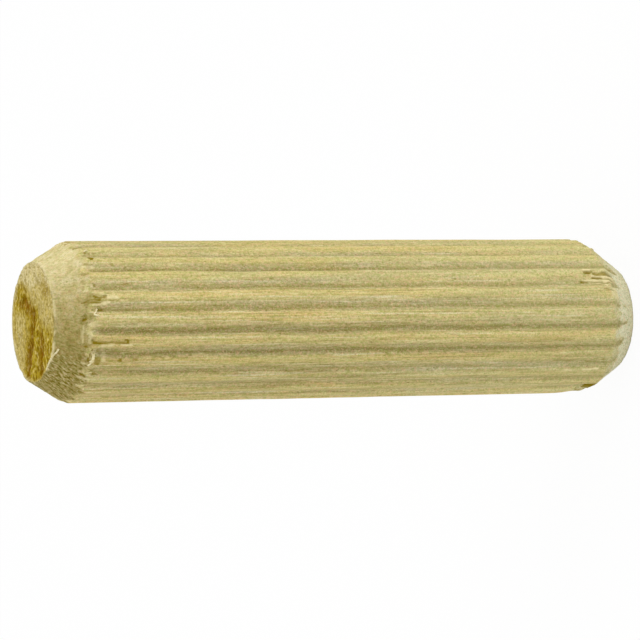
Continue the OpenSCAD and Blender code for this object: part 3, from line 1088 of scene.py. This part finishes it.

# %% [markdown]
# ## Lifted fibres
# Where a tear stopped, single fibres stand up from the wood like the fuzz on a frayed rope. Hair would make
# them, but it isn't a mesh, and each fibre here has to be a closed tube. So each one is a short bent path,
# and a tree turns all the paths into thin tubes at once, tapered at both ends. The ones that are seen most
# are placed one by one: a curl over a torn flute, a blade of two strands, and a thread that lies along the
# rim. The rest are scattered round both ends.

# %% Paths placed one by one
PLACED_FIBRES = [
    # each point: turn, distance below the top end, height above the wood in millimetres
    [(-1.6, 2.40, -0.03), (0.6, 2.26, 0.10), (2.4, 2.15, 0.08), (2.9, 2.26, 0.09), (3.1, 2.44, -0.03)],
    [(30.9, 2.33, -0.03), (32.5, 2.29, 0.06), (35.2, 2.21, 0.07), (37.8, 2.11, 0.05), (40.3, 2.01, -0.03)],
    [(31.6, 2.24, -0.03), (33.2, 2.21, 0.06), (35.4, 2.15, 0.06), (37.4, 2.08, -0.03)],
    [(31.7, 0.31, 0.03), (35.0, 0.25, 0.02), (38.0, 0.18, 0.00), (41.0, 0.08, -0.01), (46.0, 0.03, -0.02),
     (53.0, 0.02, -0.03), (60.0, 0.03, -0.06)],
]
side_points = xyz[on_side]
side_turns = np.degrees(np.arctan2(-side_points[:, 0], -side_points[:, 1]))
side_out = np.hypot(side_points[:, 0], side_points[:, 1])


def wood_radius(turn, distance):
    """How far out the wood reaches at a turn and a distance below the top end."""
    around = np.radians((side_turns - turn + 180) % 360 - 180) * RADIUS
    return side_out[np.argmin(around ** 2 + (LENGTH - side_points[:, 2] - distance) ** 2)]


print(f"{len(PLACED_FIBRES)} paths by hand; at the front the wood reaches {wood_radius(0, 2.4):.2f} mm out")

# %% [markdown]
# ### Scattered paths
# A scattered fibre has three points: it leaves the wood, stands a little over it, and goes back in. Its
# ends are sunk, so that no gap shows between it and the wood. All paths go into one mesh of loose edges,
# which is what the tree expects.

# %% All the paths
SUNK = -0.05      # millimetres under the surface
SCATTER = [
    # distance below the top end, how many
    (2.1, 16),
    (37.6, 14),
]


def scattered_fibres():
    draw = np.random.default_rng(SEED + 1)
    paths = []
    for middle, amount in SCATTER:
        for turn in draw.uniform(90, 310, amount):
            start = middle + draw.uniform(-0.5, 0.45)
            run, drift, height = draw.uniform(0.2, 0.6), draw.uniform(-2.5, 2.5), draw.uniform(0.03, 0.07)
            paths.append([(turn, start, SUNK), (turn + drift / 2, start + run / 2, height),
                          (turn + drift, start + run, SUNK)])
    return paths


def path_mesh(paths):
    """The paths as one mesh of loose edges, in metres."""
    corners, edges = [], []
    for path in paths:
        for number, (turn, distance, height) in enumerate(path):
            if number:
                edges.append((len(corners) - 1, len(corners)))
            place = outward(turn) * (wood_radius(turn, distance) + height)
            corners.append((place.x * MM, place.y * MM, (LENGTH - distance) * MM))
    mesh = bpy.data.meshes.new("fibre_paths")
    mesh.from_pydata(corners, edges, [])
    return mesh


fibre_lines = PLACED_FIBRES + scattered_fibres()
paths = path_mesh(fibre_lines)
print(f"{len(fibre_lines)} paths with {len(paths.vertices)} points")

# %% [markdown]
# ### Tubes
# A real fibre bundle is round and thins out towards its ends. The tree smooths each path, gives it a
# radius that falls at both ends, and sweeps a six-sided ring along it, which is round enough at this size.

# %% The fibres' tree
FIBRE_RADIUS = 0.06                     # millimetres, drawn thick enough to show
TAPER_SHARE, END_RADIUS = 0.35, 0.35    # share of the length that tapers, and of the radius that is left
FIBRE_STEPS, FIBRE_SIDES = 4, 6


def fibre_tree():
    """A tree that turns loose edges into closed, tapered tubes."""
    tree, size = new_tree("tapered_fibres", {"Radius": FIBRE_RADIUS * MM}, "Fibre")
    path = add(tree, "GeometryNodeMeshToCurve", [size["Geometry"]])
    path = add(tree, "GeometryNodeCurveSplineType", [path], spline_type="BEZIER")
    path = add(tree, "GeometryNodeCurveSetHandles", [path], handle_type="AUTO")
    path = add(tree, "GeometryNodeSetSplineResolution", {"Geometry": path, "Resolution": FIBRE_STEPS})
    along = add(tree, "GeometryNodeSplineParameter").outputs["Factor"]
    start = add(tree, "ShaderNodeMapRange", [along, 0.0, TAPER_SHARE, END_RADIUS, 1.0])
    end = add(tree, "ShaderNodeMapRange", [along, 1.0 - TAPER_SHARE, 1.0, 1.0, END_RADIUS])
    taper = add(tree, "ShaderNodeMath", [start, end], operation="MINIMUM")
    path = add(tree, "GeometryNodeSetCurveRadius", {"Curve": path, "Radius": taper})
    ring = add(tree, "GeometryNodeCurvePrimitiveCircle",
               {"Resolution": FIBRE_SIDES, "Radius": size["Radius"]})
    tubes = add(tree, "GeometryNodeCurveToMesh", {"Curve": path, "Profile Curve": ring, "Fill Caps": True})
    tubes = add(tree, "GeometryNodeRealizeInstances", [tubes])
    tubes = add(tree, "GeometryNodeSetMaterial", {"Geometry": tubes, "Material": size["Fibre"]})
    add(tree, "NodeGroupOutput", [tubes])
    return tree


torn_fibre = bpy.data.materials.new("beech_torn_fibre")
fibres = grown("lifted_fibres", fibre_tree(), {"Radius": FIBRE_RADIUS * MM, "Fibre": torn_fibre}, paths)
print(f"{len(fibre_lines)} fibres, {len(fibres.data.polygons)} faces")

# %% [markdown]
# ### Torn fibre
# A torn bundle of beech fibres is nearly white, because its broken cells scatter the light like frost. One
# flat colour would make it look like wire. So a fine noise, drawn out along the grain, mixes two tones and
# also roughens the surface.

# %% Fibre material
THREAD_ACROSS, THREAD_ALONG = 0.1, 0.4      # millimetres


def make_torn_fibre(material):
    """Beech, torn: pale, dull and thready."""
    material.use_nodes = True
    tree = material.node_tree
    tree.nodes.clear()
    place = add(tree, "ShaderNodeTexCoord").outputs["Object"]
    scale = (1000 / THREAD_ACROSS, 1000 / THREAD_ACROSS, 1000 / THREAD_ALONG)
    thread = add(tree, "ShaderNodeVectorMath", [place, scale], operation="MULTIPLY")
    thread = add(tree, "ShaderNodeTexNoise", {"Vector": thread, "Scale": 1.0, "Detail": 2.0})
    share = add(tree, "ShaderNodeMapRange", [thread.outputs["Fac"], 0.35, 0.65, 0.0, 1.0])
    colour = add(tree, "ShaderNodeMix", [share, linear("#CFC088"), linear("#EAE0B6")], data_type="RGBA")
    bump = add(tree, "ShaderNodeBump", {"Strength": 0.3, "Distance": 0.03 * MM, "Height": thread})
    surface = add(tree, "ShaderNodeBsdfPrincipled",
                  {"Base Color": colour, "Roughness": 0.8, "IOR": 1.5, "Normal": bump,
                   "Specular IOR Level": 0.25})
    add(tree, "ShaderNodeOutputMaterial", [surface])


make_torn_fibre(torn_fibre)
print("torn fibre:", len(torn_fibre.node_tree.nodes), "nodes")

# %% [markdown]
# ## Raw beech
# Beech is pale and even, with streaks along the grain and short dark flecks. An image of real beech would
# hold all that, but it would be stretched where it wraps over the flutes and the ends. Noise in space has no
# such trouble, because it asks only where a point is. Each pattern is drawn out along the grain, and its two
# sizes are those of the real streak or fleck. Pores and rays are finer than a tenth of a millimetre; they
# are drawn at a tenth, or they would not show at all.

# %% Grain sizes
GRAIN = {
    # name: bumps across and along the grain in mm, and how much finer detail they carry
    "broad": (2.6, 60.0, 2.0),      # tone that changes slowly across the pin
    "bands": (0.9, 18.0, 2.0),      # growth rings, cut lengthwise
    "streaks": (0.20, 3.0, 3.0),    # bundles of fibres
    "fine": (0.10, 0.40, 2.0),      # pores, drawn coarser than they are
    "flecks": (0.11, 0.25, 1.0),    # rays, drawn coarser than they are
    "mottle": (0.15, 0.18, 2.0),    # spots of crushed fibres
    "grit": (0.09, 0.10, 2.0),      # torn cells, drawn coarser than they are
    "patches": (0.6, 3.0, 2.0),     # wood that the die has rubbed
    "threads": (0.12, 7.0, 2.0),    # long fibres that stand out
    "blotches": (0.45, 0.40, 2.0),  # flakes on the tapers
}
PATTERNS_APART = (13.7, 7.1, 3.3)      # in bumps, so that no two patterns have theirs together


def grain_patterns(tree, place):
    """Each grain pattern by name, as noise from 0 to 1."""
    patterns = {}
    for seed, (name, (across, along, detail)) in enumerate(GRAIN.items(), 1):
        scaled = add(tree, "ShaderNodeVectorMath", [place, (1000 / across, 1000 / across, 1000 / along)],
                     operation="MULTIPLY")
        moved = add(tree, "ShaderNodeVectorMath", [scaled, [seed * step for step in PATTERNS_APART]],
                    operation="ADD")
        patterns[name] = add(tree, "ShaderNodeTexNoise", {"Vector": moved, "Scale": 1.0, "Detail": detail,
                                                          "Roughness": 0.6}).outputs["Fac"]
    return patterns


print(len(GRAIN), "grain patterns, the finest", min(across for across, _, _ in GRAIN.values()), "mm wide")

# %% [markdown]
# ### Bundles on the end face
# On the end face the torn bundles lie from side to side, so grain that stands upright would show only dots
# there. Their noise is long from side to side instead. The same noise, read finer, gives the single fibres.

# %% Lying bundles
LYING_ALONG, LYING_ACROSS = 0.60, 0.18      # millimetres
NAP_SCALE = 1.7                             # how many times finer the single fibres are
LOOKUP_TURN = FACE_TURN + 9                 # degrees


def face_patterns(tree, place):
    """The bundles that lie on the end face, and the nap of single fibres in them."""
    # turning the stretched place doesn't turn the bundles; it reads another part of the noise
    lying = add(tree, "ShaderNodeMapping", {"Vector": place,
                                            "Scale": (1000 / LYING_ALONG, 1000 / LYING_ACROSS, 1.0),
                                            "Rotation": (0, 0, math.radians(LOOKUP_TURN))})
    bundles = add(tree, "ShaderNodeTexNoise", {"Vector": lying, "Scale": 1.0, "Detail": 3.0})
    nap = add(tree, "ShaderNodeTexNoise", {"Vector": lying, "Scale": NAP_SCALE, "Detail": 1.0})
    return {"lying": bundles.outputs["Fac"], "nap": nap.outputs["Fac"]}


print(f"bundles {LYING_ALONG} by {LYING_ACROSS} mm")

# %% [markdown]
# ### Nicks on the tapers, and all the patterns together
# On the tapers the blade skidded aslant and left small dark nicks. Noise in space can't slant round a pin,
# so theirs reads the slanted distances that are stored on the points. Each other stored value is a pattern
# of its own, which says where a colour goes.

# %% Nicks and all patterns
SKID_ALONG, SKID_ACROSS = 0.32, 0.16        # millimetres


def stored_patterns(tree):
    """What the points store, by name, and the nicks, which follow the slant that they store."""
    patterns = {}
    for name in COLOURING:
        patterns[name] = add(tree, "ShaderNodeAttribute", attribute_name=name).outputs["Fac"]
    along = add(tree, "ShaderNodeMath", [patterns["skid_along"], 1 / SKID_ALONG], operation="MULTIPLY")
    across = add(tree, "ShaderNodeMath", [patterns["skid_across"], 1 / SKID_ACROSS], operation="MULTIPLY")
    nicks = add(tree, "ShaderNodeCombineXYZ", [along, across])
    nicks = add(tree, "ShaderNodeTexNoise", {"Vector": nicks, "Scale": 1.0, "Detail": 1.0})
    patterns["nicks"] = nicks.outputs["Fac"]
    return patterns


def wood_patterns(tree):
    """Every pattern that can colour the wood, by name."""
    place = add(tree, "ShaderNodeTexCoord").outputs["Object"]
    return grain_patterns(tree, place) | face_patterns(tree, place) | stored_patterns(tree)


print(f"nicks {SKID_ALONG} by {SKID_ACROSS} mm, and {len(COLOURING)} stored patterns")

# %% [markdown]
# ## The colours, layer on layer
# A finisher glazes wood one thin layer over another, and the same way is used here: each row lays one
# colour over those above it. It is there where its pattern passes from one value to another, with the given
# share, and only where a second pattern is. One colour ramp would be shorter, but it couldn't let streaks,
# stains and tears lie over each other. The flutes were ploughed by a hot, dirty die, and are painted darker
# and browner down their flanks and along their bottoms: partly that dirt, and partly painted shade in the
# hollows. Fresh tears are olive brown inside and nearly white along their lifted edges.

# %% Layers
BARE = "#D2C682"
LAYERS = [
    # pattern, from, to, share, only where, blend, colour
    ("broad", 0.40, 0.62, 0.50, None, "MIX", "#C8B876"),
    ("bands", 0.50, 0.66, 0.65, None, "MIX", "#E1C47A"),
    ("bands", 0.47, 0.34, 0.55, None, "MIX", "#BEB389"),
    ("patches", 0.50, 0.68, 0.45, None, "MIX", "#DDBD7C"),
    # grey on the flutes' flanks: painted shade, partly dirt from the die
    ("patches", 0.75, 0.30, 0.60, "flank", "MIX", "#AA9C88"),
    ("streaks", 0.52, 0.72, 0.48, None, "MIX", "#A69856"),
    ("streaks", 0.46, 0.30, 0.55, None, "MIX", "#E6DCA4"),
    ("threads", 0.60, 0.70, 0.45, None, "MIX", "#8E8042"),
    ("threads", 0.39, 0.31, 0.50, None, "MIX", "#EDE5BE"),
    ("threads", 0.53, 0.66, 0.60, "scratched", "MIX", "#8C7E4C"),
    ("threads", 0.46, 0.35, 0.60, "scratched", "MIX", "#E6DDBA"),
    ("streaks", 0.54, 0.66, 0.45, "scratched", "MIX", "#A09058"),
    # darker flute bottoms and a dark line along each: painted shade in the hollows, partly dirt from the die
    ("patches", 0.05, 0.60, 0.62, "valley", "MIX", "#7C6F2C"),
    ("crease", 0.86, 0.97, 0.40, "valley", "MIX", "#685A1A"),
    ("grit", 0.30, 0.60, 0.75, "fresh", "MIX", "#EADFAF"),
    ("blotches", 0.51, 0.64, 0.62, "fresh", "MIX", "#B3A465"),
    ("blotches", 0.48, 0.36, 0.60, "fresh", "MIX", "#F0E2BE"),
    ("blond", 0.00, 1.00, 0.88, None, "MIX", "#E9E7D4"),
    ("fine", 0.50, 0.70, 0.42, None, "MIX", "#8E803E"),
    ("fine", 0.46, 0.28, 0.36, None, "MIX", "#ECE2AA"),
    # dark flecks only in the flutes: painted shade, partly dirt from the die
    ("flecks", 0.54, 0.66, 0.30, "flank", "MIX", "#665A1E"),
    # paler and greener towards the bottom end: painted light, as if that end were lit more, and a greener
    # tone of the wood
    ("toward_bottom", 0.45, 1.00, 0.22, None, "MIX", "#DEE0A8"),
    ("mottle", 0.51, 0.68, 0.55, None, "MIX", "#9AA44E"),
    ("mottle", 0.47, 0.31, 0.55, None, "MIX", "#DDB58C"),
    ("flecks", 0.66, 0.78, 0.60, None, "MIX", "#7C6B2E"),
    ("grit", 0.50, 0.68, 0.32, None, "MIX", "#8C7F3A"),
    ("grit", 0.46, 0.30, 0.28, None, "MIX", "#F2E8B4"),
    ("face", 0.00, 1.00, 0.80, None, "MIX", "#DACA94"),
    ("gold", 0.00, 1.00, 1.00, None, "MIX", "#B09A20"),
    ("brown", 0.05, 0.50, 0.90, None, "MIX", "#967A00"),
    ("brown", 0.35, 0.90, 0.90, None, "MIX", "#845200"),
    ("lying", 0.50, 0.64, 0.80, "gold", "MIX", "#7A5C00"),
    ("lying", 0.47, 0.30, 0.55, "plain", "MIX", "#DDCC78"),
    ("lying", 0.47, 0.32, 0.75, "straw", "MIX", "#C6AA48"),
    ("nap", 0.52, 0.64, 0.75, "gold", "MIX", "#745600"),
    ("nap", 0.46, 0.36, 0.80, "straw", "MIX", "#DAC67A"),
    ("mottle", 0.50, 0.66, 0.55, "face", "MIX", "#86741E"),
    ("lying", 0.52, 0.64, 0.40, "plain", "MIX", "#8C7A38"),
    ("mottle", 0.46, 0.34, 0.65, "plain", "MIX", "#E8DDB0"),
    ("grit", 0.46, 0.32, 0.45, "straw", "MIX", "#C8AA50"),
    # painted shade on the top taper's side away from the lamp and on the lands facing it, with a darker
    # stripe of the lands
    ("shade", 0.00, 1.00, 0.85, None, "MULTIPLY", "#B0A87A"),
    ("nicks", 0.55, 0.61, 1.00, "crumbly", "MIX", "#6A5E00"),
    ("nicks", 0.41, 0.33, 0.60, "crumbly", "MIX", "#E2D0A4"),
    # pale lifted fibres and rim, with painted highlights on the rim and painted light on the top taper's lamp
    # side
    ("pale", 0.00, 1.00, 0.90, None, "MIX", "#EBDDAA"),
    # dark insides of the tears and of the flake's bed, and painted shadow at the flutes' ends and beside a
    # lifted blade of fibres
    ("dark", 0.00, 1.00, 0.96, None, "MIX", "#82700C"),
]
print(len(LAYERS), "layers over the bare wood")

# %% [markdown]
# ### The wood itself
# Ploughed and cut beech without any finish is dull. Its torn, open cells swallow the light, so it hardly
# shines at any angle, and its streaks and grit can be felt. Real grooves for them would take millions of
# points, so a bump does it, in millimetres, from the same patterns that colour them.

# %% Wood material
BUMP_HEIGHT = 0.045                     # millimetres
FINE_SHARE, GRIT_SHARE = 0.67, 0.45     # of the bump, for each part that the streaks have


def make_wood(material):
    """Beech, ploughed along the grain and unfinished: dull, streaky and slightly rough."""
    material.use_nodes = True
    tree = material.node_tree
    tree.nodes.clear()
    patterns = wood_patterns(tree)
    colour = linear(BARE)
    for pattern, start, stop, amount, where, blend, tint in LAYERS:
        share = add(tree, "ShaderNodeMapRange", [patterns[pattern], start, stop, 0.0, amount])
        if where:
            share = add(tree, "ShaderNodeMath", [share, patterns[where]], operation="MULTIPLY")
        colour = add(tree, "ShaderNodeMix", [share, colour, linear(tint)], data_type="RGBA",
                     blend_type=blend).outputs[2]

    ridges = add(tree, "ShaderNodeMath", [patterns["fine"], FINE_SHARE, patterns["streaks"]],
                 operation="MULTIPLY_ADD")
    ridges = add(tree, "ShaderNodeMath", [patterns["grit"], GRIT_SHARE, ridges], operation="MULTIPLY_ADD")
    bump = add(tree, "ShaderNodeBump", {"Strength": 0.5, "Distance": BUMP_HEIGHT * MM, "Height": ridges})
    surface = add(tree, "ShaderNodeBsdfPrincipled",
                  {"Base Color": colour, "Roughness": 0.75, "IOR": 1.5, "Normal": bump,
                   "Specular IOR Level": 0.02})
    add(tree, "ShaderNodeOutputMaterial", [surface])


make_wood(wood)
print("wood:", len(wood.node_tree.nodes), "nodes")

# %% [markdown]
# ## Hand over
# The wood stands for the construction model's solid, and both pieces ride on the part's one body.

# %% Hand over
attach(pin, "root")
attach(fibres, "root")
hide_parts("dowel_pin")
